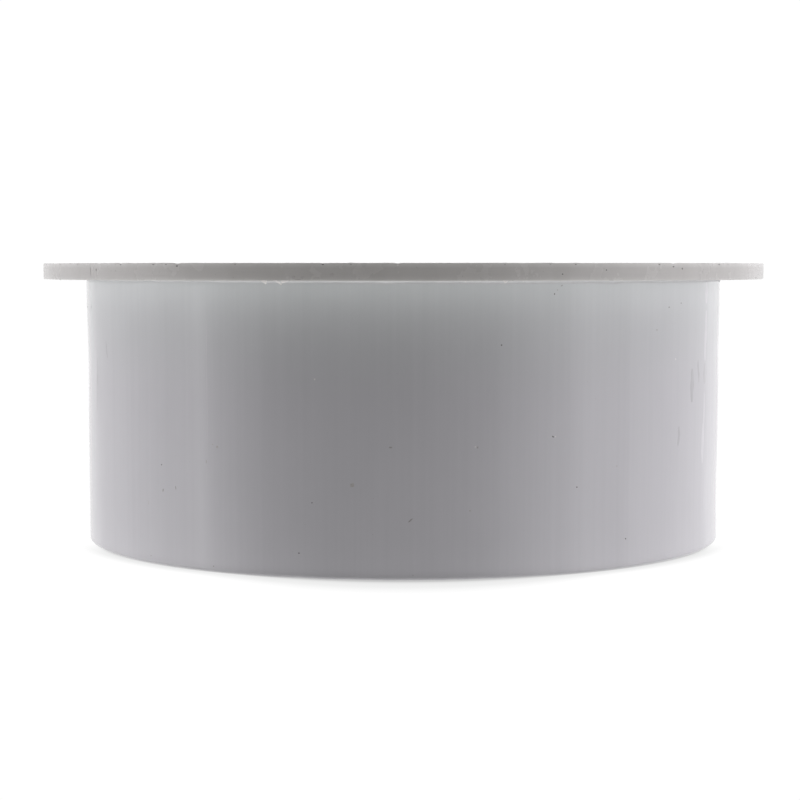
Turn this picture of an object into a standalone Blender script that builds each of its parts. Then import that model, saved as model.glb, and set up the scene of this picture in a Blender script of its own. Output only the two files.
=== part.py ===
"""Flanged end cap (socket plug) for a 110 mm drain pipe: a flat closure disc bonded on the end of a short spigot barrel.

Every piece is turned about the Z axis. Z = 0 is the open end of the spigot and +Z runs up the axis to the closed face.
"""

import math

import bmesh
import bpy
from mathutils import Matrix, Vector

# Driving dimensions, in metres.
SPIGOT_OD = 0.1100        # outside of a 110 mm pipe
SPIGOT_WALL = 0.0032
SPIGOT_LENGTH = 0.0449    # open end to the underside of the disc
SPIGOT_DRAUGHT = 0.00015  # how much the radius falls towards the open end
LEAD_RADIUS = 0.0006      # rounding on the outside of the open end
DEBURR = 0.0004           # chamfer on the inside of the open end

DISC_DIAMETER = 0.1247
DISC_THICKNESS = 0.0027
DISC_EDGE_RADIUS = 0.0003

GROOVE_DEPTH = 0.0010     # locating groove in the disc that the barrel's end sits in
GROOVE_RELIEF = 0.0005    # chamfer at the groove's mouth that the cement runs into
FIT_GAP = 0.0003          # glue gap between the barrel and the groove

CEMENT_RISE = 0.0004      # how far the cured cement reaches up into the groove
CEMENT_GAP = 0.00012

SEGMENTS = 96

DISC_BOTTOM = SPIGOT_LENGTH
DISC_TOP = SPIGOT_LENGTH + DISC_THICKNESS
BARREL_TOP = DISC_BOTTOM + GROOVE_DEPTH - FIT_GAP
OUTER_R = SPIGOT_OD / 2
INNER_R = OUTER_R - SPIGOT_WALL
DISC_R = DISC_DIAMETER / 2


def clear_scene():
    for obj in list(bpy.data.objects):
        bpy.data.objects.remove(obj, do_unlink=True)


def rounding(centre_r, centre_z, radius, start_deg, end_deg, steps):
    """Points of an arc in the (radius, height) half plane."""
    points = []
    for i in range(steps + 1):
        a = math.radians(start_deg + (end_deg - start_deg) * i / steps)
        points.append((centre_r + radius * math.cos(a), centre_z + radius * math.sin(a)))
    return points


def plastic(name, colour, roughness):
    material = bpy.data.materials.new(name)
    material.use_nodes = True
    shader = material.node_tree.nodes["Principled BSDF"]
    shader.inputs["Base Color"].default_value = (*colour, 1.0)
    shader.inputs["Roughness"].default_value = roughness
    shader.inputs["Metallic"].default_value = 0.0
    material.diffuse_color = (*colour, 1.0)
    return material


def turned(name, profile, material, parent):
    """A solid of revolution about Z from an outline in (radius, height)."""
    bm = bmesh.new()
    verts = [bm.verts.new(Vector((r, 0.0, z))) for r, z in profile]
    on_axis = profile[0][0] == 0.0 and profile[-1][0] == 0.0
    edges = [bm.edges.new(pair) for pair in zip(verts, verts[1:])]
    if not on_axis:
        edges.append(bm.edges.new((verts[-1], verts[0])))
    bmesh.ops.spin(
        bm,
        geom=verts + edges,
        cent=(0.0, 0.0, 0.0),
        axis=(0.0, 0.0, 1.0),
        angle=math.tau,
        steps=SEGMENTS,
        use_merge=True,
        use_duplicate=False,
    )
    bmesh.ops.remove_doubles(bm, verts=bm.verts, dist=1e-7)
    bmesh.ops.recalc_face_normals(bm, faces=bm.faces)
    mesh = bpy.data.meshes.new(name)
    bm.to_mesh(mesh)
    bm.free()
    obj = bpy.data.objects.new(name, mesh)
    bpy.context.scene.collection.objects.link(obj)
    obj.data.materials.append(material)
    obj.parent = parent
    obj.matrix_parent_inverse = Matrix.Identity(4)
    obj.data.shade_smooth()
    obj.data.set_sharp_from_angle(angle=math.radians(35))
    return obj


def closure_disc(parent):
    edge = DISC_EDGE_RADIUS
    groove_in = INNER_R - FIT_GAP
    groove_out = OUTER_R + FIT_GAP
    groove_top = DISC_BOTTOM + GROOVE_DEPTH
    relief_top = DISC_BOTTOM + GROOVE_RELIEF
    profile = [(0.0, DISC_BOTTOM), (groove_in - GROOVE_RELIEF, DISC_BOTTOM)]
    profile += [(groove_in, relief_top), (groove_in, groove_top)]
    profile += [(groove_out, groove_top), (groove_out, relief_top)]
    profile += [(groove_out + GROOVE_RELIEF, DISC_BOTTOM)]
    profile += rounding(DISC_R - edge, DISC_BOTTOM + edge, edge, -90, 0, 3)
    profile += rounding(DISC_R - edge, DISC_TOP - edge, edge, 0, 90, 3)
    profile += [(0.0, DISC_TOP)]
    disc = turned(
        "closure_disc", profile, plastic("disc_pvc", (0.36, 0.355, 0.345), 0.42), parent
    )
    return disc


def spigot_barrel(parent):
    end_r = OUTER_R - SPIGOT_DRAUGHT
    profile = [(INNER_R, BARREL_TOP), (INNER_R, DEBURR), (INNER_R + DEBURR, 0.0)]
    profile += rounding(end_r - LEAD_RADIUS, LEAD_RADIUS, LEAD_RADIUS, -90, 0, 4)
    profile += [(OUTER_R, DISC_BOTTOM - 0.004), (OUTER_R, BARREL_TOP)]
    return turned(
        "spigot_barrel", profile, plastic("barrel_pvc", (0.40, 0.395, 0.41), 0.16), parent
    )


def cement_bead(name, corner_r, outward, parent):
    """A ring with a hollow face that fills the groove's mouth beside the barrel."""
    reach = FIT_GAP + GROOVE_RELIEF - 2 * CEMENT_GAP
    wall_r = corner_r + outward * CEMENT_GAP
    tip_r = wall_r + outward * reach
    tip_z = DISC_BOTTOM - CEMENT_GAP / 4
    hollow = rounding(tip_r, tip_z - reach, reach, 90, 180, 4)
    if outward < 0:
        hollow = [(2 * tip_r - r, z) for r, z in hollow]
    profile = [(wall_r, DISC_BOTTOM + CEMENT_RISE)] + hollow
    return turned(
        name, profile, plastic(name + "_cement", (0.55, 0.54, 0.52), 0.3), parent
    )


def main():
    clear_scene()
    cap = bpy.data.objects.new("end_cap", None)
    bpy.context.scene.collection.objects.link(cap)
    closure_disc(cap)
    spigot_barrel(cap)
    cement_bead("outer_cement_fillet", OUTER_R, 1, cap)
    cement_bead("inner_cement_fillet", INNER_R, -1, cap)


main()
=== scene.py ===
import math
import random

import bmesh
import bpy
import numpy as np
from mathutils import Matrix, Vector, noise


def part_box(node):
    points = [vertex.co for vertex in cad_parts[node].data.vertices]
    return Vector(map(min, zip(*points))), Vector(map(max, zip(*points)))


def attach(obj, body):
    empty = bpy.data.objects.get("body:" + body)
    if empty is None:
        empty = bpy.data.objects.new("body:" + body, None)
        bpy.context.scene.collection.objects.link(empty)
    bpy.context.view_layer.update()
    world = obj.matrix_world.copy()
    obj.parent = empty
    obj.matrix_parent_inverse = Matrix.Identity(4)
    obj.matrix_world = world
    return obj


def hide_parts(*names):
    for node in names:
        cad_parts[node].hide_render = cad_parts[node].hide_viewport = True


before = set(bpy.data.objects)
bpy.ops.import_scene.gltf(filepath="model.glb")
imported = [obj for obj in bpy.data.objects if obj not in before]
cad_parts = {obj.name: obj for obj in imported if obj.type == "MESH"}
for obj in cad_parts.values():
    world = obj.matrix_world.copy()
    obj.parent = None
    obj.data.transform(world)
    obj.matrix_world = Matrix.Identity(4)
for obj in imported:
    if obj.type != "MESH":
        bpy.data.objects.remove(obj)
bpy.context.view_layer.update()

MM = 0.001
random.seed(7)
rng = np.random.default_rng(7)

disc_lo, disc_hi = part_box("closure_disc")
barrel_lo, barrel_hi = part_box("spigot_barrel")
outer_lo, outer_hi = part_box("outer_cement_fillet")
inner_lo, inner_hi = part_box("inner_cement_fillet")

R_DISC = disc_hi.x / MM            # everything below is in millimetres until a mesh is written
Z_UNDER = disc_lo.z / MM
Z_TOP = disc_hi.z / MM
R_OUT = barrel_hi.x / MM
Z_BARREL_TOP = barrel_hi.z / MM
R_IN = inner_hi.x / MM + 0.12
SEG = 1080


# ---------------------------------------------------------------- mesh helpers

def smooth_noise(x, y, z):
    return noise.noise(Vector((x, y, z)))


def azimuths(count=SEG):
    """Angles round the axis, measured from the front (-Y), positive to the right (+X)."""
    return np.arange(count) * 2 * np.pi / count


def wrap(a):
    return (a + np.pi) % (2 * np.pi) - np.pi


def band_at(az, z, az0_deg, z_low, z_high, half_az_mm, soft, radius):
    """A soft upright stripe between two heights."""
    da = wrap(az - math.radians(az0_deg)) * radius / half_az_mm
    up = 1 / (1 + np.exp(-(z - z_low) / soft))
    down = 1 / (1 + np.exp((z - z_high) / soft))
    return np.exp(-da * da) * up * down


def place(r, az, z):
    return np.stack([r * np.sin(az), -r * np.cos(az), z], -1)


class Builder:
    """Collects closed parts of one mesh, in millimetres."""

    def __init__(self):
        self.points, self.faces, self.slots, self.count = [], [], [], 0

    def add(self, points, faces, slot=0):
        points = np.asarray(points, float).reshape(-1, 3)
        volume = 0.0
        for f in faces:
            for i in range(1, len(f) - 1):
                volume += float(np.dot(points[f[0]], np.cross(points[f[i]], points[f[i + 1]])))
        if volume < 0:
            faces = [tuple(reversed(f)) for f in faces]
        self.points.append(points)
        for f in faces:
            self.faces.append(tuple(i + self.count for i in f))
        if isinstance(slot, int):
            slot = [slot] * len(faces)
        self.slots.extend(slot)
        self.count += len(points)

    def add_rings(self, rings, band_slots=None, start_axis=None, end_axis=None):
        """rings is (n, segments, 3). Without axis points the last ring joins the first one."""
        rings = np.asarray(rings)
        n, seg, _ = rings.shape
        points = rings.reshape(-1, 3)
        index = np.arange(n * seg).reshape(n, seg)
        faces, slots = [], []
        last = n if start_axis is None else n - 1
        for i in range(last):
            a, b = index[i], index[(i + 1) % n]
            a2, b2 = np.roll(a, -1), np.roll(b, -1)
            faces.extend(zip(a.tolist(), a2.tolist(), b2.tolist(), b.tolist()))
            slots.extend([band_slots[i] if band_slots else 0] * seg)
        if start_axis is not None:
            extra = np.array([start_axis, end_axis], float)
            c0, c1 = len(points), len(points) + 1
            points = np.vstack([points, extra])
            a = index[0]
            faces.extend((c0, q, p) for p, q in zip(a.tolist(), np.roll(a, -1).tolist()))
            slots.extend([band_slots[0] if band_slots else 0] * seg)
            a = index[-1]
            faces.extend((c1, p, q) for p, q in zip(a.tolist(), np.roll(a, -1).tolist()))
            slots.extend([band_slots[-1] if band_slots else 0] * seg)
        # the sign of the volume decides which way all the faces turn
        tri = np.array([(f[0], f[1], f[2]) for f in faces])
        tri2 = np.array([(f[0], f[2], f[-1]) for f in faces if len(f) == 4])
        vol = np.einsum("ij,ij->i", points[tri[:, 0]], np.cross(points[tri[:, 1]], points[tri[:, 2]])).sum()
        vol += np.einsum("ij,ij->i", points[tri2[:, 0]], np.cross(points[tri2[:, 1]], points[tri2[:, 2]])).sum()
        if vol < 0:
            faces = [tuple(reversed(f)) for f in faces]
        self.points.append(points)
        self.faces.extend(tuple(i + self.count for i in f) for f in faces)
        self.slots.extend(slots)
        self.count += len(points)

    def object(self, name, materials, sharp_deg=40):
        mesh = bpy.data.meshes.new(name)
        points = np.vstack(self.points) * MM
        mesh.from_pydata(points.tolist(), [], self.faces)
        for m in materials:
            mesh.materials.append(m)
        mesh.polygons.foreach_set("material_index", self.slots)
        mesh.shade_smooth()
        mesh.set_sharp_from_angle(angle=math.radians(sharp_deg))
        mesh.update()
        obj = bpy.data.objects.new(name, mesh)
        bpy.context.scene.collection.objects.link(obj)
        return obj


def arc(cr, cz, radius, start, end, steps, first=True):
    a = np.radians(np.linspace(start, end, steps + 1))
    if not first:
        a = a[1:]
    return [(cr + radius * math.cos(t), cz + radius * math.sin(t)) for t in a]


def grain(builder, az_deg, z, radius, size_az, size_z, height, slot, turn=0.0, sides=9):
    """A small lens-shaped grain or blister on a round wall, closed and sunk a little into it."""
    az0 = math.radians(az_deg)
    normal = np.array([math.sin(az0), -math.cos(az0), 0.0])
    side = np.array([math.cos(az0), math.sin(az0), 0.0])
    up = np.array([0.0, 0.0, 1.0])
    c, s = math.cos(math.radians(turn)), math.sin(math.radians(turn))
    u, v = side * c + up * s, -side * s + up * c
    centre = normal * radius + up * z
    points = [centre + normal * height, centre - normal * 0.05]
    for k in range(sides):
        t = 2 * math.pi * k / sides
        wobble = 1 + 0.18 * math.sin(3.1 * k + az_deg)
        x, y = size_az * wobble * math.cos(t), size_z * wobble * math.sin(t)
        drop = x * x / (2 * radius)
        points.append(centre + u * x * 0.62 + v * y * 0.62 + normal * (height * 0.72 - drop * 0.4))
        points.append(centre + u * x + v * y - normal * (0.012 + drop))
    faces = []
    for k in range(sides):
        a, b = 2 + 2 * k, 2 + 2 * ((k + 1) % sides)
        faces += [(0, a, b), (a, a + 1, b + 1, b), (1, b + 1, a + 1)]
    builder.add(points, faces, slot)


def streak(builder, surface, az_deg, z_low, z_high, half_width, height, slot, lean=0.0):
    """A long upright mark: a closed skin a few microns thick that follows the wall, wider in the middle than at its ends."""
    steps, across = 18, 9
    points = []
    for i in range(steps + 1):
        t = i / steps
        z = z_low + (z_high - z_low) * t
        swell = max(math.sin(math.pi * t), 0.0) ** 0.6
        az0 = math.radians(az_deg + lean * (t - 0.5) + 0.06 * math.sin(9 * t + az_deg))
        half = half_width * (0.10 + 0.90 * swell) * (1 + 0.12 * math.sin(17 * t + 3 * az_deg))
        for k in range(across):
            o = 2 * k / (across - 1) - 1
            a = az0 + o * half / R_OUT
            out = -0.010 if abs(o) == 1 or i in (0, steps) else height * (1 - o ** 4) * swell + 0.001
            r = float(surface(a, z)) + out
            points.append((r * math.sin(a), -r * math.cos(a), z))
        r = float(surface(az0, z)) - 0.06
        points.append((r * math.sin(az0), -r * math.cos(az0), z))
    n = across + 1
    faces = []
    for i in range(steps):
        a, b = n * i, n * (i + 1)
        for k in range(n):
            j = (k + 1) % n
            faces.append((a + k, a + j, b + j, b + k))
    faces.append(tuple(reversed(range(n))))
    faces.append(tuple(range(n * steps, n * steps + n)))
    builder.add(points, faces, slot)


def flake(builder, path, widths, thickness, slot):
    """A thin closed sliver that follows a path of (azimuth deg, radius, z), with a width along the wall at each point."""
    points = []
    for (az_deg, r, z), w in zip(path, widths):
        az0 = math.radians(az_deg)
        normal = np.array([math.sin(az0), -math.cos(az0), 0.0])
        side = np.array([math.cos(az0), math.sin(az0), 0.0])
        c = normal * r + np.array([0, 0, z])
        h = max(w, 0.02) / 2
        points += [c - side * h + normal * thickness / 2, c + side * h + normal * thickness / 2,
                   c + side * h - normal * thickness / 2, c - side * h - normal * thickness / 2]
    faces = [(0, 1, 2, 3)]
    n = len(path)
    for i in range(n - 1):
        a, b = 4 * i, 4 * (i + 1)
        for k in range(4):
            faces.append((a + k, b + k, b + (k + 1) % 4, a + (k + 1) % 4))
    e = 4 * (n - 1)
    faces.append((e + 3, e + 2, e + 1, e))
    builder.add(points, faces, slot)


# ---------------------------------------------------------------- materials

class Nodes:
    def __init__(self, name):
        self.material = bpy.data.materials.new(name)
        self.material.use_nodes = True
        self.tree = self.material.node_tree
        self.shader = self.tree.nodes["Principled BSDF"]
        self.coords = self.tree.nodes.new("ShaderNodeTexCoord")

    def new(self, kind, **settings):
        node = self.tree.nodes.new(kind)
        for key, value in settings.items():
            setattr(node, key, value)
        return node

    def link(self, a, b):
        self.tree.links.new(a, b)

    def scaled(self, scale, offset=(0, 0, 0)):
        mapping = self.new("ShaderNodeMapping")
        mapping.inputs["Scale"].default_value = scale
        mapping.inputs["Location"].default_value = offset
        self.link(self.coords.outputs["Object"], mapping.inputs["Vector"])
        return mapping.outputs["Vector"]

    def noise(self, scale, detail=3.0, roughness=0.55, size=1.0, offset=(0, 0, 0)):
        node = self.new("ShaderNodeTexNoise")
        node.inputs["Scale"].default_value = size
        node.inputs["Detail"].default_value = detail
        node.inputs["Roughness"].default_value = roughness
        self.link(self.scaled(scale, offset), node.inputs["Vector"])
        return node.outputs["Fac"]

    def turned(self, degrees, scale, offset=(0, 0, 0), warp=0.0):
        """Coordinates turned about Z and then stretched, with a slow bend so that long marks aren't quite straight."""
        turn = self.new("ShaderNodeMapping")
        turn.inputs["Rotation"].default_value = (0, 0, math.radians(degrees))
        if warp:
            bend = self.new("ShaderNodeTexNoise")
            bend.inputs["Scale"].default_value = 22.0
            bend.inputs["Detail"].default_value = 1.0
            self.link(self.coords.outputs["Object"], bend.inputs["Vector"])
            push = self.new("ShaderNodeVectorMath", operation="SCALE")
            push.inputs["Scale"].default_value = warp
            self.link(bend.outputs["Color"], push.inputs[0])
            add = self.new("ShaderNodeVectorMath", operation="ADD")
            self.link(self.coords.outputs["Object"], add.inputs[0])
            self.link(push.outputs[0], add.inputs[1])
            self.link(add.outputs[0], turn.inputs["Vector"])
        else:
            self.link(self.coords.outputs["Object"], turn.inputs["Vector"])
        stretch = self.new("ShaderNodeMapping")
        stretch.inputs["Scale"].default_value = scale
        stretch.inputs["Location"].default_value = offset
        self.link(turn.outputs["Vector"], stretch.inputs["Vector"])
        node = self.new("ShaderNodeTexNoise")
        node.inputs["Scale"].default_value = 1.0
        node.inputs["Detail"].default_value = 2.0
        node.inputs["Roughness"].default_value = 0.6
        self.link(stretch.outputs["Vector"], node.inputs["Vector"])
        return node.outputs["Fac"]

    def remap(self, value, a, b, c, d, clamp=True):
        node = self.new("ShaderNodeMapRange")
        node.clamp = clamp
        for key, number in zip(("From Min", "From Max", "To Min", "To Max"), (a, b, c, d)):
            node.inputs[key].default_value = number
        self.link(value, node.inputs["Value"])
        return node.outputs["Result"]

    def maths(self, op, a, b=None):
        node = self.new("ShaderNodeMath", operation=op)
        for slot, value in ((0, a), (1, b)):
            if value is None:
                continue
            if isinstance(value, (int, float)):
                node.inputs[slot].default_value = value
            else:
                self.link(value, node.inputs[slot])
        return node.outputs[0]

    def mix(self, factor, a, b):
        node = self.new("ShaderNodeMix", data_type="RGBA")
        for socket, value in ((node.inputs[0], factor), (node.inputs[6], a), (node.inputs[7], b)):
            if isinstance(value, (int, float)):
                socket.default_value = value
            elif isinstance(value, tuple):
                socket.default_value = (*value, 1.0)
            else:
                self.link(value, socket)
        return node.outputs[2]

    def bump(self, height, distance, strength=1.0, normal=None):
        node = self.new("ShaderNodeBump")
        node.inputs["Strength"].default_value = strength
        node.inputs["Distance"].default_value = distance
        self.link(height, node.inputs["Height"])
        if normal is not None:
            self.link(normal, node.inputs["Normal"])
        return node.outputs["Normal"]

    def finish(self, colour=None, roughness=None, normal=None, ior=1.53):
        self.shader.inputs["IOR"].default_value = ior
        if colour is not None:
            self.link(colour, self.shader.inputs["Base Color"])
        if roughness is not None:
            self.link(roughness, self.shader.inputs["Roughness"])
        if normal is not None:
            self.link(normal, self.shader.inputs["Normal"])
        return self.material


BARREL_ALBEDO = 0.58
TOP_ALBEDO = 0.50
UNDER_ALBEDO = 0.78
RIM_ALBEDO = 0.525


def tint(albedo, r, g, b):
    return (albedo * r, albedo * g, albedo * b)


def barrel_material():
    """Extruded glossy pipe: draw lines along the axis, a faint cloudiness, rubbed patches and fine dust."""
    m = Nodes("barrel_pvc")
    cloud = m.noise((60, 60, 45), 4, 0.6)
    lines = m.noise((900, 900, 9), 3, 0.7)
    fine = m.noise((3200, 3200, 30), 2, 0.6)
    tone = m.maths("ADD", m.remap(cloud, 0.3, 0.7, -0.5, 0.5), m.remap(lines, 0.3, 0.7, -0.45, 0.45))
    colour = m.mix(m.remap(tone, -1, 1, 0, 1), tint(BARREL_ALBEDO, 0.960, 0.953, 0.986), tint(BARREL_ALBEDO, 1.038, 1.026, 1.062))
    # painted light: from 27 mm up the wall is tinted greener and from 39.5 mm paler, both in full by 43.5 mm just below
    # the disc, standing in for the greenish light bounced down from the disc's underside
    split = m.new("ShaderNodeSeparateXYZ")
    m.link(m.coords.outputs["Object"], split.inputs[0])
    height = split.outputs["Z"]
    for low, high, painted_bounce_tint in ((27.0, 43.5, (0.990, 1.020, 0.991)), (39.5, 43.5, (1.026, 1.026, 1.026))):
        step = m.new("ShaderNodeMix", data_type="RGBA", blend_type="MULTIPLY")
        m.link(m.remap(height, low * MM, high * MM, 0, 1), step.inputs[0])
        m.link(colour, step.inputs[6])
        step.inputs[7].default_value = (*painted_bounce_tint, 1.0)
        colour = step.outputs[2]
    specks = m.noise((5200, 5200, 5200), 1, 0.5)
    colour = m.mix(m.remap(specks, 0.80, 0.84, 0, 0.55), colour, tint(0.22, 1, 0.97, 0.93))
    rub = m.noise((110, 110, 60), 3, 0.6, offset=(3, 1, 7))
    rough = m.maths("ADD", m.remap(rub, 0.35, 0.7, 0.095, 0.130), m.remap(fine, 0.3, 0.7, -0.008, 0.012))
    normal = m.bump(lines, 0.000004)
    normal = m.bump(fine, 0.0000008, normal=normal)
    return m.finish(colour, rough, normal)


def cut_end_material():
    """The sawn and deburred open end: paler, matt, with marks across it."""
    m = Nodes("barrel_cut_end")
    marks = m.noise((300, 5200, 300), 3, 0.65)
    cloud = m.noise((700, 700, 700), 3, 0.6)
    colour = m.mix(m.remap(m.maths("ADD", marks, cloud), 0.7, 1.3, 0, 1), tint(0.50, 1, 0.985, 1.0), tint(0.60, 1, 0.99, 1.0))
    rough = m.remap(cloud, 0.3, 0.7, 0.42, 0.6)
    return m.finish(colour, rough, m.bump(marks, 0.00003))


def bore_material():
    """The inside of the pipe: the same plastic, a little duller, with its own draw lines."""
    m = Nodes("barrel_bore")
    cloud = m.noise((50, 50, 40), 4, 0.6, offset=(5, 5, 5))
    lines = m.noise((700, 700, 7), 3, 0.7, offset=(1, 2, 3))
    colour = m.mix(m.remap(m.maths("ADD", cloud, lines), 0.7, 1.3, 0, 1), tint(0.47, 1, 0.97, 1.02), tint(0.52, 1, 0.985, 1.03))
    rough = m.remap(cloud, 0.2, 0.8, 0.235, 0.265)
    return m.finish(colour, rough, m.bump(lines, 0.000006))


def disc_top_material():
    """The outer face: pressed sheet gone satin, with orange-peel, scuffs and short handling scratches."""
    m = Nodes("disc_outer_face")
    cloud = m.noise((26, 26, 26), 4, 0.6)
    scuff = m.noise((110, 70, 90), 5, 0.68, offset=(7, 3, 1))
    peel = m.noise((900, 900, 900), 2, 0.5)
    scratches = None
    for degrees, length, fineness, low, seed in ((24, 26, 2100, 0.675, 0), (61, 34, 1800, 0.69, 3), (97, 24, 2400, 0.685, 6), (139, 40, 1700, 0.70, 9), (168, 30, 2200, 0.68, 12)):
        one = m.remap(m.turned(degrees, (length, fineness, 20), (seed, seed * 0.7, 0), 0.004), low, low + 0.06, 0, 1)
        scratches = one if scratches is None else m.maths("MAXIMUM", scratches, one)
    tone = m.maths("ADD", m.maths("MULTIPLY", cloud, 0.6), m.maths("MULTIPLY", scuff, 0.7))
    colour = m.mix(m.remap(tone, 0.42, 0.88, 0, 1), tint(TOP_ALBEDO, 0.955, 0.95, 0.94), tint(TOP_ALBEDO, 1.04, 1.03, 1.018))
    colour = m.mix(m.maths("MULTIPLY", scratches, 0.34), colour, tint(0.70, 1, 0.995, 0.985))
    rough = m.maths("ADD", m.remap(scuff, 0.3, 0.7, 0.34, 0.44), m.maths("MULTIPLY", scratches, 0.12))
    normal = m.bump(peel, 0.000006)
    normal = m.bump(scratches, 0.000004, normal=normal)
    return m.finish(colour, rough, normal)


def disc_under_material():
    """The face that meets the pipe: the same sheet with orange-peel, made paler and greener than the outer face as
    painted bounce light, so that it throws a brighter, greener light onto the pipe just below.
    """
    m = Nodes("disc_inner_face")
    cloud = m.noise((30, 30, 30), 4, 0.6)
    peel = m.noise((900, 900, 900), 2, 0.5)
    colour = m.mix(m.remap(cloud, 0.3, 0.7, 0, 1), tint(UNDER_ALBEDO, 0.965, 0.985, 0.962), tint(UNDER_ALBEDO, 0.99, 1.008, 0.985))
    rough = m.remap(cloud, 0.3, 0.7, 0.30, 0.40)
    return m.finish(colour, rough, m.bump(peel, 0.000006))


def disc_edge_material():
    """The turned edge: matt, with lines round it and small torn spots."""
    m = Nodes("disc_turned_edge")
    lines = m.noise((90, 90, 5200), 3, 0.6)
    cloud = m.noise((160, 160, 160), 4, 0.65)
    tears = m.noise((1500, 1500, 3000), 2, 0.5, offset=(2, 2, 2))
    patches = m.noise((330, 330, 110), 2, 0.55, offset=(9, 4, 2))
    tone = m.maths("ADD", m.maths("ADD", m.maths("MULTIPLY", lines, 0.4), cloud), patches)
    colour = m.mix(m.remap(tone, 0.85, 1.55, 0, 1), tint(RIM_ALBEDO, 0.955, 0.933, 0.892), tint(RIM_ALBEDO, 1.055, 1.030, 0.992))
    # painted highlight: both corners of the edge are made paler, standing in for the light caught along the rounded
    # corners
    split = m.new("ShaderNodeSeparateXYZ")
    m.link(m.coords.outputs["Object"], split.inputs[0])
    height = split.outputs["Z"]
    painted_corner_highlight = m.maths("ADD", m.remap(height, (Z_TOP - 0.82) * MM, (Z_TOP - 0.15) * MM, 0, 0.95), m.remap(height, (Z_UNDER + 0.7) * MM, (Z_UNDER + 0.05) * MM, 0, 0.50))
    painted_corner_highlight = m.maths("MULTIPLY", painted_corner_highlight, m.remap(patches, 0.3, 0.7, 0.7, 1.15))
    colour = m.mix(painted_corner_highlight, colour, tint(RIM_ALBEDO * 1.27, 1.0, 0.985, 0.955))
    colour = m.mix(m.remap(tears, 0.70, 0.78, 0, 0.5), colour, tint(0.30, 1, 0.97, 0.92))
    rough = m.remap(cloud, 0.3, 0.7, 0.20, 0.31)
    normal = m.bump(lines, 0.00001)
    normal = m.bump(tears, 0.00001, normal=normal)
    return m.finish(colour, rough, normal)


def cement_material():
    """Cured solvent cement: paler than the pipe, lumpy and half glossy."""
    m = Nodes("cured_cement")
    lumps = m.noise((900, 900, 900), 3, 0.6)
    colour = m.mix(m.remap(lumps, 0.3, 0.7, 0, 1), tint(0.48, 1, 0.995, 1.0), tint(0.54, 1, 0.995, 1.0))
    rough = m.remap(lumps, 0.3, 0.7, 0.56, 0.70)
    return m.finish(colour, rough, m.bump(lumps, 0.00003))


def dirt_material(name, low, high):
    m = Nodes(name)
    lumps = m.noise((4000, 4000, 4000), 2, 0.5)
    colour = m.mix(m.remap(lumps, 0.3, 0.7, 0, 1), tint(low, 1, 0.96, 0.92), tint(high, 1, 0.97, 0.95))
    rough = m.remap(lumps, 0.3, 0.7, 0.55, 0.7)
    return m.finish(colour, rough, m.bump(lumps, 0.00001))


def wear_and_painted_light_material(name, low, high):
    """Streak plastic close to the wall's own tone and nearly as glossy, used both for rubbed and polished wear and for
    painted highlights and painted shade.
    """
    m = Nodes(name)
    lumps = m.noise((1500, 1500, 260), 3, 0.6)
    colour = m.mix(m.remap(lumps, 0.3, 0.7, 0, 1), tint(low, 1, 0.988, 1.015), tint(high, 1, 0.99, 1.02))
    rough = m.remap(lumps, 0.3, 0.7, 0.16, 0.26)
    return m.finish(colour, rough, m.bump(lumps, 0.000004))


MAT_BARREL, MAT_CUT, MAT_BORE = barrel_material(), cut_end_material(), bore_material()
MAT_TOP, MAT_UNDER, MAT_EDGE = disc_top_material(), disc_under_material(), disc_edge_material()
MAT_CEMENT = cement_material()
MAT_DIRT = dirt_material("dirt_grain", 0.10, 0.17)
MAT_FAINT = dirt_material("faint_grain", 0.30, 0.38)
# the rubbed, polished, bright and shaded streak materials serve partly as painted light: on the front half the pale
# streaks are painted highlights and sheen and the darker ones painted shade, standing in for reflections on the uneven
# wall; further round the rubbed and polished ones are wear
MAT_RUB_AND_SHADE = wear_and_painted_light_material("rubbed_and_painted_shade_streak", 0.48, 0.53)
MAT_SHEEN = wear_and_painted_light_material("polished_and_painted_sheen_streak", 0.59, 0.63)
MAT_PALE = dirt_material("pale_chip", 0.70, 0.78)
MAT_BRIGHT = wear_and_painted_light_material("painted_highlight_streak", 0.63, 0.68)
MAT_FLAKE = dirt_material("torn_sliver", 0.60, 0.68)
MAT_SHADE = wear_and_painted_light_material("shaded_streak", 0.50, 0.54)
MAT_SOFT = dirt_material("soft_smudge", 0.43, 0.49)


# ---------------------------------------------------------------- spigot barrel

LEAD, DRAUGHT, DEBURR = 0.6, 0.15, 0.4
WAVES = [(k, rng.uniform(0, 2 * np.pi), rng.uniform(0, 2 * np.pi)) for k in range(2, 70)]
# upright die marks and rubbed stripes: (azimuth, low, high, half width, depth)
STRIPES = (
    (64.6, 41.9, 44.3, 0.45, -0.030), (64.7, 32.8, 39.1, 0.45, -0.028), (64.2, 16.5, 25.2, 0.45, -0.022),
    (58.2, 25.4, 30.2, 0.9, 0.016), (53.4, 18.4, 21.4, 0.8, 0.012), (-67.6, 23.0, 31.8, 0.7, 0.016),
    (-71.5, 8.0, 22.0, 0.8, -0.012), (34.3, 36.5, 44.0, 0.35, -0.010),
)


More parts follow.
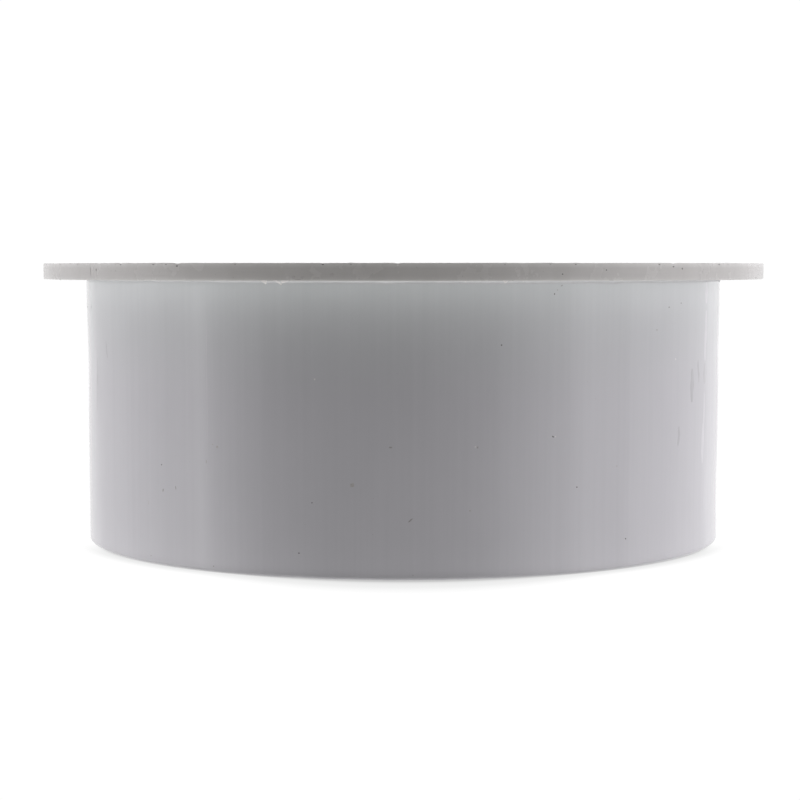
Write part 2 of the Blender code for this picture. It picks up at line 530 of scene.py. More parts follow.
def wall_radius(az, z):
    """The outside of the drawn pipe: draught, ovality, die lines and a slight waist, in millimetres."""
    az = np.asarray(az, float)
    radius = R_OUT - DRAUGHT * (1 - min(z / (Z_UNDER - 4), 1.0)) + np.zeros_like(az)
    delta = np.zeros_like(az)
    for k, p, q in WAVES:
        amp = 0.024 / k if k < 8 else 0.0016 * math.exp(-((k - 34) / 24) ** 2)
        delta += amp * np.sin(k * az + p + 0.35 * math.sin(z / 17 + q))
    right = 0.5 + 0.5 * np.sin(az)
    left = 1 - right
    delta += left ** 3 * (0.09 * math.exp(-((z - 43) / 5) ** 2) - 0.10 * math.exp(-((z - 29) / 6) ** 2))
    delta += right ** 3 * (-0.11 * math.exp(-((z - 32) / 4.5) ** 2) - 0.12 * math.exp(-((z - 9) / 6) ** 2) - 0.06)
    for az0, lo, hi, half, depth in STRIPES:
        delta += depth * band_at(az, z, az0, lo, hi, half, 0.5, R_OUT)
    return radius + delta * min(1.0, max(0.0, (Z_UNDER + 0.2 - z) / 0.6))


def make_barrel():
    az = azimuths()
    # profile as (radius, z), from the top of the outside down, round the end and up the bore
    zs = np.concatenate([[Z_BARREL_TOP, Z_UNDER + 0.05, Z_UNDER - 0.4], np.linspace(Z_UNDER - 0.9, 3.0, 48), [2.2, 1.5, 1.0]])
    profile = [(None, z) for z in zs]
    tags = ["out"] * len(profile)
    end_r = R_OUT - DRAUGHT
    edge = arc(end_r - LEAD, LEAD, LEAD, 0, -90, 8)
    profile += edge
    tags += ["lead"] * len(edge)
    for t in (0.25, 0.5, 0.75):
        profile.append((end_r - LEAD + (R_IN + DEBURR - end_r + LEAD) * t, 0.0))
        tags.append("end")
    profile += [(R_IN + DEBURR, 0.0), (R_IN + DEBURR * 0.5, DEBURR * 0.45), (R_IN, DEBURR)]
    tags += ["end", "deburr", "deburr"]
    for z in np.linspace(2.0, Z_UNDER - 0.6, 12):
        profile.append((R_IN, z))
        tags.append("bore")
    profile += [(R_IN, Z_BARREL_TOP)]
    tags += ["bore"]

    # the saw leaves the end a little uneven
    saw = 0.020 * np.sin(5 * az + 1.0) + 0.014 * np.sin(13 * az + 4) + 0.010 * np.sin(37 * az) + 0.006 * np.sin(83 * az + 2)
    saw += np.array([0.05 * max(0.0, smooth_noise(40 * math.sin(a), 40 * math.cos(a), 3.3)) for a in az])
    saw = np.maximum(saw - saw.min() * 0.4, 0.0)
    rings = []
    for (r, z), tag in zip(profile, tags):
        if tag == "out":
            rr = wall_radius(az, z)
        elif tag == "lead":
            rr = r + (wall_radius(az, 1.0) - wall_radius(az, 1.0).mean()) * 0.8
        elif tag == "bore":
            delta = np.zeros_like(az)
            for k, p, q in WAVES:
                amp = 0.030 / k if k < 8 else 0.0020 * math.exp(-((k - 26) / 20) ** 2)
                delta += amp * np.sin(k * az + 1.7 * p + 0.3 * math.sin(z / 15 + q))
            rr = r + delta
        else:
            rr = np.full_like(az, r)
        zz = np.full_like(az, z)
        if tag in ("end", "lead", "deburr"):
            zz = zz + saw * max(0.0, 1 - z / 0.7)
        rings.append(place(rr, az, zz))
    slot_of = {"out": 0, "lead": 0, "end": 1, "deburr": 1, "bore": 2}
    band_slots = [slot_of[tags[(i + 1) % len(tags)]] for i in range(len(tags))]
    b = Builder()
    b.add_rings(rings, band_slots)

    # dust, pinholes, chips and rubbed streaks on the wall: (azimuth, height, half width, half height, slot, turn)
    marks = [
        (-76.9, 40.2, 0.55, 0.20, 3, 0), (-71.7, 40.3, 0.34, 0.24, 3, 10), (-43.8, 16.0, 0.17, 0.14, 3, 0),
        (-43.5, 12.0, 0.20, 0.34, 4, -20), (-40.4, 12.6, 0.15, 0.38, 4, 10), (-16.8, 3.9, 0.16, 0.14, 3, 0),
        (-14.6, 11.6, 0.14, 0.13, 3, 0), (-14.1, 30.2, 0.15, 0.17, 5, 0), (-8.1, 14.4, 0.50, 0.42, 9, 30),
        (-2.1, 20.1, 0.36, 0.17, 4, 0), (1.0, 9.15, 0.60, 0.15, 4, 42), (0.96, 9.12, 0.40, 0.06, 3, 42), (15.4, 35.3, 0.17, 0.15, 3, 0),
        (24.3, 21.3, 0.26, 0.15, 3, -35), (24.4, 42.9, 0.15, 0.18, 3, 0), (24.9, 43.5, 0.14, 0.10, 4, 0),
        (25.7, 44.15, 0.26, 0.13, 4, 25), (28.8, 13.4, 0.16, 0.15, 3, 0), (39.1, 4.7, 0.19, 0.15, 3, 0),
        (46.4, 37.1, 0.20, 0.15, 4, 0), (49.8, 40.6, 0.18, 0.15, 3, 0), (52.2, 32.3, 0.16, 0.18, 5, 0),
        (-31.4, 19.45, 0.24, 0.26, 9, 0), (-32.3, 19.8, 0.14, 0.12, 9, 0), (-33.6, 17.1, 0.14, 0.36, 9, 0), (-47.4, 9.7, 0.10, 0.44, 9, 0),
        (11.2, 20.1, 0.14, 0.16, 5, 0), (11.6, 20.0, 0.14, 0.22, 4, 0), (10.4, 10.5, 0.20, 0.16, 9, 0), (36.9, 16.2, 0.16, 0.14, 9, 0),
        (24.75, 21.3, 0.14, 0.12, 5, 0), (-46.9, 1.3, 0.16, 0.14, 4, 0), (-32.3, 0.95, 0.18, 0.14, 4, 0), (1.4, 0.85, 0.16, 0.12, 4, 0),
        (53.7, 41.2, 0.19, 0.14, 3, 0), (74.4, 25.3, 0.20, 0.20, 3, 0), (80.2, 31.2, 0.2, 0.2, 4, 0),
    ]
    # long marks: (azimuth, low, high, half width, height, slot, lean)
    # painted light: the pale marks from 52° to 66° on the right, at -73.5° on the left and the thin line at -33.4° are
    # painted highlights and reflection lines, and the darker marks from 53° to 65° and at -62° and -68° are painted
    # shade, all standing in for reflections on the uneven wall; the random marks added further round are rubbed and
    # polished wear
    streaks = [
        (64.9, 40.8, 44.7, 0.75, 0.006, 10, 0.1), (64.9, 31.2, 40.2, 0.70, 0.006, 10, 0.2), (64.3, 16.6, 26.8, 0.40, 0.005, 10, 0.2),
        (63.8, 14.4, 21.6, 0.70, 0.006, 10, 0.1),
        (64.9, 27.0, 31.5, 0.20, 0.010, 7, 0.2), (65.4, 5.0, 13.0, 0.18, 0.008, 7, 0.4),
        (64.7, 27.6, 31.4, 1.05, 0.002, 8, 0.2), (58.4, 24.8, 30.8, 0.86, 0.003, 6, 0.2), (52.9, 18.0, 21.2, 0.14, 0.008, 7, 0.1), (53.4, 18.2, 21.6, 0.5, 0.006, 6, 0.3), (61.3, 28.0, 32.0, 0.4, 0.006, 6, -0.6),
        (-68.0, 22.6, 32.4, 0.62, 0.006, 6, 0.6), (-73.5, 24.0, 30.0, 0.5, 0.006, 7, 0.4), (-62.0, 32.0, 35.0, 0.36, 0.005, 6, -0.6),
        (34.4, 39.6, 44.3, 0.07, 0.002, 7, 0.1), (-33.4, 12.0, 40.0, 0.10, 0.003, 7, 0.2),
    ]
    # the sides and the back carry the same scatter of shop dust
    for _ in range(52):
        size = rng.uniform(0.10, 0.2)
        marks.append((rng.uniform(84, 276), rng.uniform(2, 43.5), size, size * rng.uniform(0.7, 1.2),
                      int(rng.choice([3, 3, 4, 4, 5])), rng.uniform(0, 180)))
    for _ in range(12):
        low = rng.uniform(3, 34)
        streaks.append((rng.uniform(84, 276), low, low + rng.uniform(3, 9), rng.uniform(0.15, 0.5), rng.uniform(0.004, 0.010),
                        int(rng.choice([7, 6, 6])), rng.uniform(-0.8, 0.8)))
    for az_deg, z, wa, wz, slot, turn in marks:
        grain(b, az_deg, z, float(wall_radius(math.radians(az_deg), z)) - 0.004, wa, wz, 0.016, slot, turn)
    for az_deg, low, high, half, height, slot, lean in streaks:
        streak(b, wall_radius, az_deg, low, high, half, height, slot, lean)
    return b.object("barrel_wall", [MAT_BARREL, MAT_CUT, MAT_BORE, MAT_DIRT, MAT_FAINT, MAT_PALE, MAT_RUB_AND_SHADE, MAT_SHEEN, MAT_SHADE, MAT_SOFT, MAT_BRIGHT], 35)


# ---------------------------------------------------------------- closure disc

def make_disc():
    az = azimuths(1440)
    face_z = Z_TOP - 0.10          # the sheet's face: turning the edge throws up a fine lip that reaches the top
    low_edge, high_edge = 0.035, 0.08
    r_rim = R_DISC - 0.018
    lip = np.array([0.068 + 0.016 * smooth_noise(30 * math.sin(a), 30 * math.cos(a), 0.3)
                    + 0.018 * smooth_noise(120 * math.sin(a), 120 * math.cos(a), 1.3)
                    + 0.010 * smooth_noise(420 * math.sin(a), 420 * math.cos(a), 2.3) for a in az])
    for az0, half, height in ((-44.2, 0.45, 0.05), (-37.5, 0.50, 0.05), (-35.6, 0.60, 0.05), (-23.5, 0.30, 0.05),
                              (-10.9, 0.30, 0.05), (-7.1, 0.35, 0.05), (13.6, 0.30, 0.05), (20.1, 0.35, 0.05),
                              (23.9, 0.40, 0.05), (38.3, 0.40, 0.05), (52.5, 0.70, 0.06), (55.3, 0.60, 0.06),
                              (-72.6, 0.5, 0.05), (76.2, 0.5, 0.05)):
        lip = lip + height * np.exp(-(wrap(az - math.radians(az0)) * R_DISC / half) ** 2)
    lip = np.clip(lip, 0.0, 0.098)
    wobble = np.array([0.012 * smooth_noise(6 * math.sin(a), 6 * math.cos(a), 4.0) for a in az])
    wobble -= wobble.max()
    chip = np.zeros_like(az)
    for az0, half, depth in ((-44.2, 0.30, 0.10), (-33.0, 0.40, 0.14), (-10.9, 0.25, 0.08), (-0.85, 0.30, 0.10),
                             (41.2, 0.35, 0.09), (-66.0, 0.8, 0.06), (118.0, 0.5, 0.12), (203.0, 0.4, 0.12)):
        chip += depth * np.exp(-(wrap(az - math.radians(az0)) * R_DISC / half) ** 2)

    g_in, g_out, g_top = R_IN - 0.15, R_OUT + 0.15, Z_UNDER + 1.0

    def crown(z):
        """The turning tool and handling leave both corners of the edge slightly broken."""
        top = min(max((z - (Z_TOP - 0.9)) / 0.8, 0.0), 1.0)
        bottom = min(max((Z_UNDER + 0.6 - z) / 0.6, 0.0), 1.0)
        return 0.015 * top ** 3 + 0.055 * bottom ** 3

    profile, tags = [], []

    def put(points, tag):
        profile.extend(points)
        tags.extend([tag] * len(points))

    put([(r, Z_UNDER) for r in (4, 12, 22, 32, 42, 48)], "under")
    put([(g_in - 0.02, Z_UNDER), (g_in, Z_UNDER + 0.02), (g_in, g_top), (g_out, g_top), (g_out, Z_UNDER + 0.02), (g_out + 0.02, Z_UNDER)], "under")
    put([(r, Z_UNDER) for r in (56.5, 58.5, 60.5, 61.6, 62.0)], "under")
    put(arc(r_rim - low_edge, Z_UNDER + low_edge, low_edge, -90, 0, 5), "edge")
    put([(r_rim, z) for z in np.linspace(Z_UNDER + 0.2, face_z - high_edge - 0.08, 17)], "edge")
    put(arc(r_rim - high_edge, face_z - high_edge, high_edge, 0, 75, 5), "rimtop")
    put([(r_rim - 0.09, face_z)], "lip")
    put([(r_rim - 0.18, face_z)], "lip2")
    put([(r_rim - 0.34, face_z), (r_rim - 0.6, face_z)], "face")
    put([(r, face_z) for r in (61.0, 59.5, 57, 53, 47, 40, 32, 24, 16, 9, 4)], "face")

    # light chatter from the turning tool: ribs that lean a little, and torn pits
    chatter = np.array([smooth_noise(260 * math.sin(a), 260 * math.cos(a), 7.7) for a in az])
    rings = []
    for (r, z), tag in zip(profile, tags):
        rr, zz = np.full_like(az, r), np.full_like(az, z)
        if r > 61.9:
            rr = rr + wobble - crown(z)
        if tag == "edge":
            rr = rr - 0.006 * (0.5 + 0.5 * math.sin(z * 23.0)) - 0.004 * (0.5 + 0.5 * np.sin(3 * az + z * 9)) + 0.003 * np.minimum(chatter, 0)
            rough = np.array([smooth_noise(55 * math.sin(a + 0.01 * z), 55 * math.cos(a + 0.01 * z), 2.1 * z) for a in az])
            rr = rr - 0.010 * np.maximum(rough - 0.25, 0)
        if tag == "edge" and z < Z_UNDER + 0.12:
            ragged = np.array([smooth_noise(70 * math.sin(a), 70 * math.cos(a), 9.1) for a in az])
            zz = zz - 0.02 * ragged * 0 + 0.03 * np.maximum(ragged, 0)
        if tag == "rimtop":
            up = max(0.0, (z - (face_z - high_edge)) / high_edge)
            zz = zz + lip * up * 0.95
            rr = rr - chip * 0.6
            zz = zz - chip * up
        if tag == "lip":
            zz = zz + lip - chip
        if tag == "lip2":
            zz = zz + lip * 0.35 - chip * 0.5
        if tag == "face":
            # a sheet is never quite flat
            zz = zz - 0.03 + 0.028 * np.sin(az * 2 + 0.6) * (r / R_DISC) ** 2 if r < 61 else zz - 0.01
        rings.append(place(rr, az, zz))
    slot_of = {"under": 5, "edge": 1, "rimtop": 1, "lip": 1, "lip2": 0, "face": 0}
    band_slots = [slot_of[tags[i + 1]] for i in range(len(tags) - 1)] + [0]
    b = Builder()
    b.add_rings(rings, band_slots, start_axis=(0, 0, Z_UNDER), end_axis=(0, 0, face_z - 0.03))

    r = r_rim
    # torn slivers left hanging at the lower corner of the turned edge; they curl under, so light from below catches them
    flake(b, [(-19.25, r - 0.05, 45.02), (-19.22, r - 0.12, 44.86), (-19.17, r - 0.24, 44.70), (-19.15, r - 0.38, 44.54), (-19.12, r - 0.50, 44.42)],
          [1.10, 0.90, 0.62, 0.32, 0.08], 0.06, 7)
    flake(b, [(-17.65, r - 0.05, 45.02), (-17.42, r - 0.12, 44.86), (-17.15, r - 0.26, 44.68), (-16.95, r - 0.42, 44.48), (-16.8, r - 0.56, 44.32)],
          [0.62, 0.52, 0.42, 0.32, 0.10], 0.06, 7)
    flake(b, [(-16.15, r - 0.05, 45.02), (-16.25, r - 0.12, 44.88), (-16.45, r - 0.22, 44.74), (-16.62, r - 0.34, 44.60)],
          [1.30, 1.10, 0.66, 0.18], 0.06, 7)
    flake(b, [(13.7, r - 0.06, 45.02), (13.72, r - 0.14, 44.84), (13.75, r - 0.32, 44.62)], [0.85, 0.62, 0.16], 0.06, 7)
    flake(b, [(8.2, r - 0.06, 45.0), (8.25, r - 0.16, 44.78)], [0.42, 0.16], 0.05, 7)
    flake(b, [(16.2, r - 0.06, 45.0), (16.25, r - 0.16, 44.82)], [0.36, 0.14], 0.05, 7)
    # a curl of swarf at the left and crumbs at the right of the upper corner
    flake(b, [(-72.0, r - 0.10, 47.25), (-72.3, r - 0.03, 47.38), (-72.6, r - 0.04, 47.48), (-73.2, r - 0.10, 47.57)], [0.16, 0.14, 0.10, 0.05], 0.06, 2)
    flake(b, [(76.0, r - 0.09, 47.24), (76.3, r - 0.03, 47.36), (76.8, r - 0.07, 47.50)], [0.26, 0.20, 0.08], 0.06, 2)
    for az0 in (140.0, 171.0, 214.0, 246.0, 263.0):
        flake(b, [(az0, r - 0.06, 45.02), (az0 + 0.1, r - 0.16, 44.8), (az0 + 0.2, r - 0.36, 44.55)], [0.6, 0.42, 0.1], 0.06, 2)
    # grains and torn pits on the edge
    marks = [(-14.95, 45.45, 0.30, 0.26, 6), (-13.75, 45.45, 0.28, 0.26, 6), (-14.3, 45.15, 0.6, 0.09, 6), (-9.7, 45.85, 0.42, 0.34, 6), (21.9, 45.9, 0.17, 0.15, 3),
             (28.8, 46.5, 0.16, 0.14, 3), (41.2, 47.0, 0.24, 0.12, 3), (43.1, 46.7, 0.17, 0.15, 3), (68.4, 45.2, 0.20, 0.16, 3),
             (-50.3, 46.5, 0.20, 0.24, 4), (-33.0, 47.1, 0.24, 0.15, 3), (-44.2, 47.3, 0.22, 0.08, 3), (-37.4, 47.32, 0.34, 0.07, 3),
             (-35.0, 47.34, 0.26, 0.06, 3), (-23.5, 47.32, 0.16, 0.08, 4), (-10.9, 47.3, 0.18, 0.09, 3), (-7.1, 47.32, 0.24, 0.07, 4),
             (13.6, 47.3, 0.16, 0.08, 4), (20.1, 47.32, 0.2, 0.07, 4), (23.9, 47.3, 0.26, 0.07, 3), (38.3, 47.3, 0.24, 0.08, 3),
             (-63.0, 47.35, 0.42, 0.07, 4), (-56.0, 47.3, 0.30, 0.06, 4), (52.5, 47.33, 0.3, 0.10, 3), (55.3, 47.33, 0.2, 0.10, 4),
             (-51.9, 46.3, 0.10, 0.9, 4), (-0.85, 47.25, 0.20, 0.10, 2)]
    for _ in range(34):
        size = rng.uniform(0.10, 0.2)
        marks.append((rng.uniform(82, 278), rng.uniform(45.4, 47.1), size, size * rng.uniform(0.6, 1.1), int(rng.choice([3, 4, 4, 2]))))
    for az_deg, z, wa, wz, slot in marks:
        grain(b, az_deg, z, r - 0.013 - crown(z), wa, wz, 0.016, slot)
    return b.object("closing_disc", [MAT_TOP, MAT_EDGE, MAT_PALE, MAT_DIRT, MAT_FAINT, MAT_UNDER, MAT_SOFT, MAT_FLAKE], 50)


# ---------------------------------------------------------------- cement beads

def make_bead(name, corner_r, outward, leg, seed):
    az = azimuths(720)
    swell = np.array([1 + 0.30 * smooth_noise(9 * math.sin(a), 9 * math.cos(a), seed) + 0.16 * smooth_noise(34 * math.sin(a), 34 * math.cos(a), seed + 5) for a in az])
    steps = 6
    rings = []
    wall = corner_r - outward * 0.02
    rings.append(place(np.full_like(az, wall), az, np.full_like(az, Z_UNDER + 0.02)))
    for i in range(steps + 1):
        t = i / steps * math.pi / 2
        # hollow face: a quarter round seen from outside the corner
        reach = leg * swell
        rr = wall + outward * (reach * (1 - math.sin(t)) + 0.02)
        zz = Z_UNDER + 0.005 - reach * (1 - math.cos(t))
        rings.append(place(rr, az, zz))
    rings.append(place(np.full_like(az, wall), az, Z_UNDER - leg * swell))
    b = Builder()
    b.add_rings(rings)
    return b.object(name, [MAT_CEMENT], 60)


barrel = make_barrel()
disc = make_disc()
bead_out = make_bead("outer_cement_line", R_OUT, 1, 0.44, 2.0)
bead_in = make_bead("inner_cement_line", R_IN, -1, 0.55, 8.0)

for piece, node, slot in (
    (barrel, "spigot_barrel", "barrel_pvc"),
    (disc, "closure_disc", "disc_pvc"),
    (bead_out, "outer_cement_fillet", "cured_cement"),
    (bead_in, "inner_cement_fillet", "cured_cement"),
):
    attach(piece, "root")
    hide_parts(node)


# ---------------------------------------------------------------- studio

def make_floor():
    bm = bmesh.new()
    bmesh.ops.create_circle(bm, cap_ends=True, segments=96, radius=9.0)
    mesh = bpy.data.meshes.new("studio_floor")
    bm.to_mesh(mesh)
    bm.free()
    obj = bpy.data.objects.new("studio_floor", mesh)
    bpy.context.scene.collection.objects.link(obj)
    obj.visible_diffuse = False
    obj.visible_glossy = False
    obj.visible_transmission = False
    obj.visible_shadow = False
    m = bpy.data.materials.new("pale_floor")
    m.use_nodes = True
    t = m.node_tree
    t.nodes.clear()
    out = t.nodes.new("ShaderNodeOutputMaterial")
    # a soft contact shade: darkest where the floor meets the cap, gone 12 mm in front of it and 4 mm at the sides
    coords = t.nodes.new("ShaderNodeTexCoord")
    split = t.nodes.new("ShaderNodeSeparateXYZ")
    t.links.new(coords.outputs["Object"], split.inputs[0])

    def maths(op, a, b=0.0):
        node = t.nodes.new("ShaderNodeMath")
        node.operation = op
        for slot, value in ((0, a), (1, b)):
            if isinstance(value, (int, float)):
                node.inputs[slot].default_value = value
            else:
                t.links.new(value, node.inputs[slot])
        return node.outputs[0]

    radius = maths("SQRT", maths("ADD", maths("MULTIPLY", split.outputs["X"], split.outputs["X"]), maths("MULTIPLY", split.outputs["Y"], split.outputs["Y"])))
    front = maths("MAXIMUM", maths("DIVIDE", maths("MULTIPLY", split.outputs["Y"], -1.0), maths("MAXIMUM", radius, 0.001)), 0.0)
    ahead = maths("MAXIMUM", maths("MULTIPLY", maths("SUBTRACT", front, 0.8), 5.0), 0.0)
    reach = maths("ADD", maths("MULTIPLY", maths("MULTIPLY", ahead, ahead), 0.72), 0.34)
    away = maths("DIVIDE", maths("SUBTRACT", radius, R_OUT * MM), maths("MULTIPLY", reach, 0.012))
    # the dark line right under the rounded foot is deepest straight ahead
    away = maths("ADD", away, maths("MINIMUM", maths("MULTIPLY", maths("SUBTRACT", 1.0, front), 1.2), 0.17))
    shade = t.nodes.new("ShaderNodeValToRGB")
    elements = shade.color_ramp.elements
    stops = ((0.0, 0.56), (0.04, 0.62), (0.08, 0.70), (0.13, 0.785), (0.20, 0.828), (0.30, 0.856), (0.42, 0.872), (0.52, 0.905), (0.65, 0.947), (0.80, 0.983), (1.0, 1.02))
    for position, _ in stops[1:-1]:
        elements.new(position)
    for element, (position, level) in zip(elements, stops):
        element.position = position
        element.color = (level, level, level, 1)
    t.links.new(away, shade.inputs["Fac"])
    # beside the cap the floor is fully lit
    weight = t.nodes.new("ShaderNodeMapRange")
    weight.interpolation_type = "SMOOTHSTEP"
    weight.inputs["From Min"].default_value = 0.22
    weight.inputs["From Max"].default_value = 0.52
    t.links.new(front, weight.inputs["Value"])
    lit = t.nodes.new("ShaderNodeMix")
    lit.data_type = "RGBA"
    lit.inputs[6].default_value = (1.02, 1.02, 1.02, 1)
    t.links.new(weight.outputs["Result"], lit.inputs[0])
    t.links.new(shade.outputs["Color"], lit.inputs[7])
    glow = t.nodes.new("ShaderNodeEmission")
    t.links.new(lit.outputs[2], glow.inputs["Color"])
    # seen from below the floor is clear, so that the open end can be looked at
    clear = t.nodes.new("ShaderNodeBsdfTransparent")
    side = t.nodes.new("ShaderNodeNewGeometry")
    mix = t.nodes.new("ShaderNodeMixShader")
    t.links.new(side.outputs["Backfacing"], mix.inputs[0])
    t.links.new(glow.outputs[0], mix.inputs[1])
    t.links.new(clear.outputs[0], mix.inputs[2])
    t.links.new(mix.outputs[0], out.inputs["Surface"])
    mesh.materials.append(m)
    return obj


def make_floor_ring(name, low_r, high_r, z, front, side, additive):
    """A ring of floor at the cap's foot that only lights the cap: front and side are its brightness towards -Y and +-X."""
    bm = bmesh.new()
    inner, outer = [], []
    for a in np.arange(240) * 2 * np.pi / 240:
        inner.append(bm.verts.new((low_r * MM * math.sin(a), low_r * MM * math.cos(a), z * MM)))
        outer.append(bm.verts.new((high_r * MM * math.sin(a), high_r * MM * math.cos(a), z * MM)))
    for i in range(240):
        j = (i + 1) % 240
        bm.faces.new((inner[i], inner[j], outer[j], outer[i]))
    mesh = bpy.data.meshes.new(name)
    bm.to_mesh(mesh)
    bm.free()
    obj = bpy.data.objects.new(name, mesh)
    bpy.context.scene.collection.objects.link(obj)
    obj.visible_camera = False
    obj.visible_glossy = not additive
    m = bpy.data.materials.new(name)
    m.use_nodes = True
    t = m.node_tree
    t.nodes.clear()
    out = t.nodes.new("ShaderNodeOutputMaterial")
    coords = t.nodes.new("ShaderNodeTexCoord")
    split = t.nodes.new("ShaderNodeSeparateXYZ")
    t.links.new(coords.outputs["Object"], split.inputs[0])
    level = t.nodes.new("ShaderNodeMapRange")
    level.inputs["From Min"].default_value = 0.0
    level.inputs["From Max"].default_value = -0.050
    level.inputs["To Min"].default_value = side
    level.inputs["To Max"].default_value = front
    t.links.new(split.outputs["Y"], level.inputs["Value"])
    glow = t.nodes.new("ShaderNodeEmission")
    t.links.new(level.outputs["Result"], glow.inputs["Strength"])
    if additive:
        clear = t.nodes.new("ShaderNodeBsdfTransparent")
        add = t.nodes.new("ShaderNodeAddShader")
        t.links.new(clear.outputs[0], add.inputs[0])
        t.links.new(glow.outputs[0], add.inputs[1])
        t.links.new(add.outputs[0], out.inputs["Surface"])
    else:
        t.links.new(glow.outputs[0], out.inputs["Surface"])
    mesh.materials.append(m)


make_floor()
make_floor_ring("floor_contact_ring", 53.6, 55.35, -0.02, 0.70, 1.05, False)
make_floor_ring("floor_bounce_ring", 55.35, 58.0, -0.03, 0.25, 0.12, True)

# The light tent: brightness by direction, as (degrees from the front, brightness) at each height angle.
TENT = [
    (-90, [(-180, 0.02), (-150, 0.53), (-120, 1.97), (-90, 3.4), (-60, 3.8), (-30, 3.8), (0, 3.8), (30, 3.8), (60, 3.8), (90, 2.85), (120, 1.16), (150, 0.02)]),
    (-55, [(-180, 0.02), (-150, 0.02), (-120, 1.73), (-90, 3.21), (-60, 2.37), (-30, 0.51), (0, 0.02), (30, 1.28), (60, 3.06), (90, 2.97), (120, 1.15), (150, 0.02)]),
    (-28, [(-180, 0.02), (-150, 0.02), (-120, 1.47), (-90, 1.92), (-60, 0.49), (-30, 0.02), (0, 0.02), (30, 0.02), (60, 0.98), (90, 1.55), (120, 0.62), (150, 0.02)]),
    (-10, [(-180, 0.96), (-160, 0.97), (-147, 0.95), (-143, 1.06), (-139, 0.87), (-120, 1.14), (-100, 1.39), (-86, 1.47), (-80, 1.77), (-76, 2.04), (-73.5, 2.26), (-70.5, 1.65), (-66, 1.3), (-58, 0.87), (-45, 0.3), (-30, 0.2), (0, 0.02), (20, 0.14), (30, 0.43), (45, 0.86), (55, 1.12), (65, 1.41), (75, 1.33), (84, 0.89), (88, 1.29), (100, 1.07), (120, 1.08), (139, 1.0), (143, 1.15), (147, 1.1), (160, 1.0)]),
    (-3, [(-180, 0.96), (-160, 0.97), (-147, 0.96), (-143, 0.85), (-139, 0.84), (-120, 0.99), (-100, 1.08), (-86, 1.33), (-80, 1.7), (-76, 2.07), (-73.5, 2.24), (-70.5, 1.32), (-66, 0.9), (-58, 0.69), (-45, 0.04), (-30, 0.02), (0, 0.02), (20, 0.02), (30, 0.18), (45, 0.88), (55, 1.12), (65, 1.83), (75, 1.43), (84, 0.99), (88, 1.35), (100, 1.14), (120, 1.03), (139, 1.03), (143, 1.27), (147, 1.1), (160, 1.0)]),
    (10, [(-180, 0.96), (-160, 0.97), (-145, 1.04), (-135, 1.34), (-120, 1.6), (-105, 3), (-90, 2.03), (-80, 0.7), (-73.5, 0.1), (-70.5, 0.02), (-60, 0.02), (-45, 0.02), (-30, 0.02), (-15, 0.02), (0, 0.02), (15, 0.02), (30, 0.02), (45, 0.02), (60, 0.02), (75, 2.12), (84, 3.16), (88, 2.79), (100, 2.77), (120, 1.5), (135, 1.81), (145, 1.37), (160, 1.0)]),
    (28, [(-180, 0.02), (-150, 0.02), (-120, 0.41), (-90, 0.25), (-60, 0.02), (-30, 0.02), (0, 0.02), (30, 0.02), (60, 0.02), (90, 0.81), (120, 0.51), (150, 0.02)]),
    (50, [(-180, 0.23), (-150, 0.97), (-120, 2.05), (-90, 1.86), (-60, 0.3), (-30, 0.02), (0, 0.02), (30, 0.02), (60, 0.8), (90, 1.8), (120, 1.48), (150, 0.55)]),
    (90, [(-180, 3.8), (-150, 3.8), (-120, 3.8), (-90, 3.8), (-60, 3.8), (-30, 3.65), (0, 3.56), (30, 3.67), (60, 3.8), (90, 3.8), (120, 3.8), (150, 3.8)]),
]


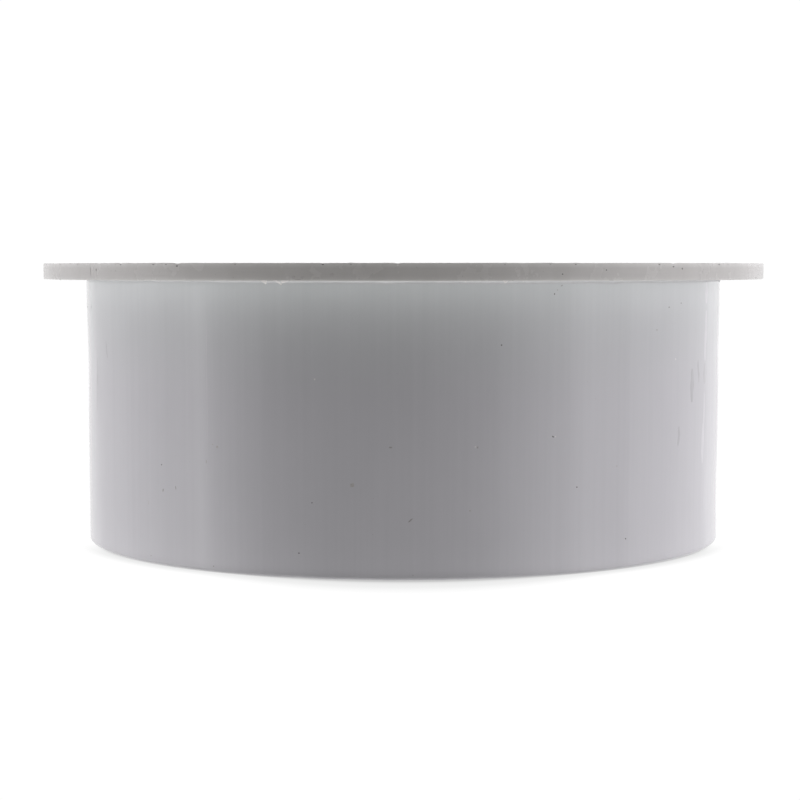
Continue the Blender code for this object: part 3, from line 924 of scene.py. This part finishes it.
def make_world():
    world = bpy.data.worlds.new("light_tent")
    bpy.context.scene.world = world
    world.use_nodes = True
    t = world.node_tree
    t.nodes.clear()
    out = t.nodes.new("ShaderNodeOutputWorld")
    coords = t.nodes.new("ShaderNodeTexCoord")
    split = t.nodes.new("ShaderNodeSeparateXYZ")
    t.links.new(coords.outputs["Generated"], split.inputs[0])

    def maths(op, a, b=None):
        node = t.nodes.new("ShaderNodeMath")
        node.operation = op
        for slot, value in ((0, a), (1, b)):
            if value is None:
                continue
            if isinstance(value, (int, float)):
                node.inputs[slot].default_value = value
            else:
                t.links.new(value, node.inputs[slot])
        return node.outputs[0]

    turn = maths("ARCTAN2", split.outputs["X"], maths("MULTIPLY", split.outputs["Y"], -1.0))
    turn = maths("ADD", maths("DIVIDE", turn, 2 * math.pi), 0.5)
    height = maths("DEGREES", maths("ARCSINE", split.outputs["Z"]))
    value = None
    for (el, stops), lower in zip(TENT, [None] + [e for e, _ in TENT]):
        ramp = t.nodes.new("ShaderNodeValToRGB")
        elements = ramp.color_ramp.elements
        full = [(q, v) for q, v in stops] + [(180, stops[0][1])]
        for i, (q, v) in enumerate(full):
            position = (q + 180) / 360
            if i == 0:
                elements[0].position = 0.0
            elif i == len(full) - 1:
                elements[-1].position = 1.0
            else:
                elements.new(position)
        for element, (q, v) in zip(elements, full):
            element.position = (q + 180) / 360
            element.color = (v / 4, v / 4, v / 4, 1)
        t.links.new(turn, ramp.inputs["Fac"])
        here = ramp.outputs["Color"]
        if value is None:
            value = here
            continue
        step = t.nodes.new("ShaderNodeMapRange")
        step.inputs["From Min"].default_value = lower
        step.inputs["From Max"].default_value = el
        t.links.new(height, step.inputs["Value"])
        mix = t.nodes.new("ShaderNodeMix")
        mix.data_type = "RGBA"
        t.links.new(step.outputs["Result"], mix.inputs[0])
        t.links.new(value, mix.inputs[6])
        t.links.new(here, mix.inputs[7])
        value = mix.outputs[2]
    # the right-hand light is a little cooler than the left one, and the light from the table is a little greener
    side_tint = t.nodes.new("ShaderNodeValToRGB")
    side_tint.color_ramp.elements[0].color = (1, 1, 1, 1)
    side_tint.color_ramp.elements[1].color = (1, 1, 1, 1)
    for position, colour in ((0.20, (1.0, 0.981, 1.010, 1)), (0.38, (1.0, 0.981, 1.010, 1)), (0.5, (1, 1, 1, 1)), (0.62, (1.0, 0.981, 1.012, 1)), (0.80, (1.0, 0.978, 1.015, 1))):
        side_tint.color_ramp.elements.new(position).color = colour
    t.links.new(turn, side_tint.inputs["Fac"])
    low_tint = t.nodes.new("ShaderNodeValToRGB")
    low_tint.color_ramp.elements[0].position = 0.0
    low_tint.color_ramp.elements[0].color = (0.965, 1.0, 0.965, 1)
    low_tint.color_ramp.elements[1].position = 0.40
    low_tint.color_ramp.elements[1].color = (1, 1, 1, 1)
    t.links.new(maths("ADD", maths("DIVIDE", height, 180.0), 0.5), low_tint.inputs["Fac"])
    for tint_ramp in (side_tint, low_tint):
        tinted = t.nodes.new("ShaderNodeMix")
        tinted.data_type = "RGBA"
        tinted.blend_type = "MULTIPLY"
        tinted.inputs[0].default_value = 1.0
        t.links.new(value, tinted.inputs[6])
        t.links.new(tint_ramp.outputs["Color"], tinted.inputs[7])
        value = tinted.outputs[2]
    tent = t.nodes.new("ShaderNodeBackground")
    tent.inputs["Strength"].default_value = 4.0
    t.links.new(value, tent.inputs["Color"])
    plain = t.nodes.new("ShaderNodeBackground")
    plain.inputs["Color"].default_value = (1, 1, 1, 1)
    plain.inputs["Strength"].default_value = 1.03
    path = t.nodes.new("ShaderNodeLightPath")
    pick = t.nodes.new("ShaderNodeMixShader")
    t.links.new(path.outputs["Is Camera Ray"], pick.inputs[0])
    t.links.new(tent.outputs[0], pick.inputs[1])
    t.links.new(plain.outputs[0], pick.inputs[2])
    t.links.new(pick.outputs[0], out.inputs["Surface"])
    world.cycles.sampling_method = "MANUAL"
    world.cycles.sample_map_resolution = 1024


make_world()

camera = bpy.data.cameras.new("front_camera")
camera.sensor_width = 36.0
camera.lens = 88.82
camera.clip_start = 0.01
camera.clip_end = 50.0
camera_object = bpy.data.objects.new("front_camera", camera)
bpy.context.scene.collection.objects.link(camera_object)
camera_object.location = (-0.0006, -0.348, 0.04702)
camera_object.rotation_euler = (math.pi / 2 - 0.0675, 0.0, 0.0)
bpy.context.scene.camera = camera_object

bpy.context.scene.view_settings.view_transform = "Standard"
bpy.context.scene.view_settings.look = "None"
bpy.context.scene.view_settings.exposure = 0.0
bpy.context.scene.view_settings.gamma = 1.0
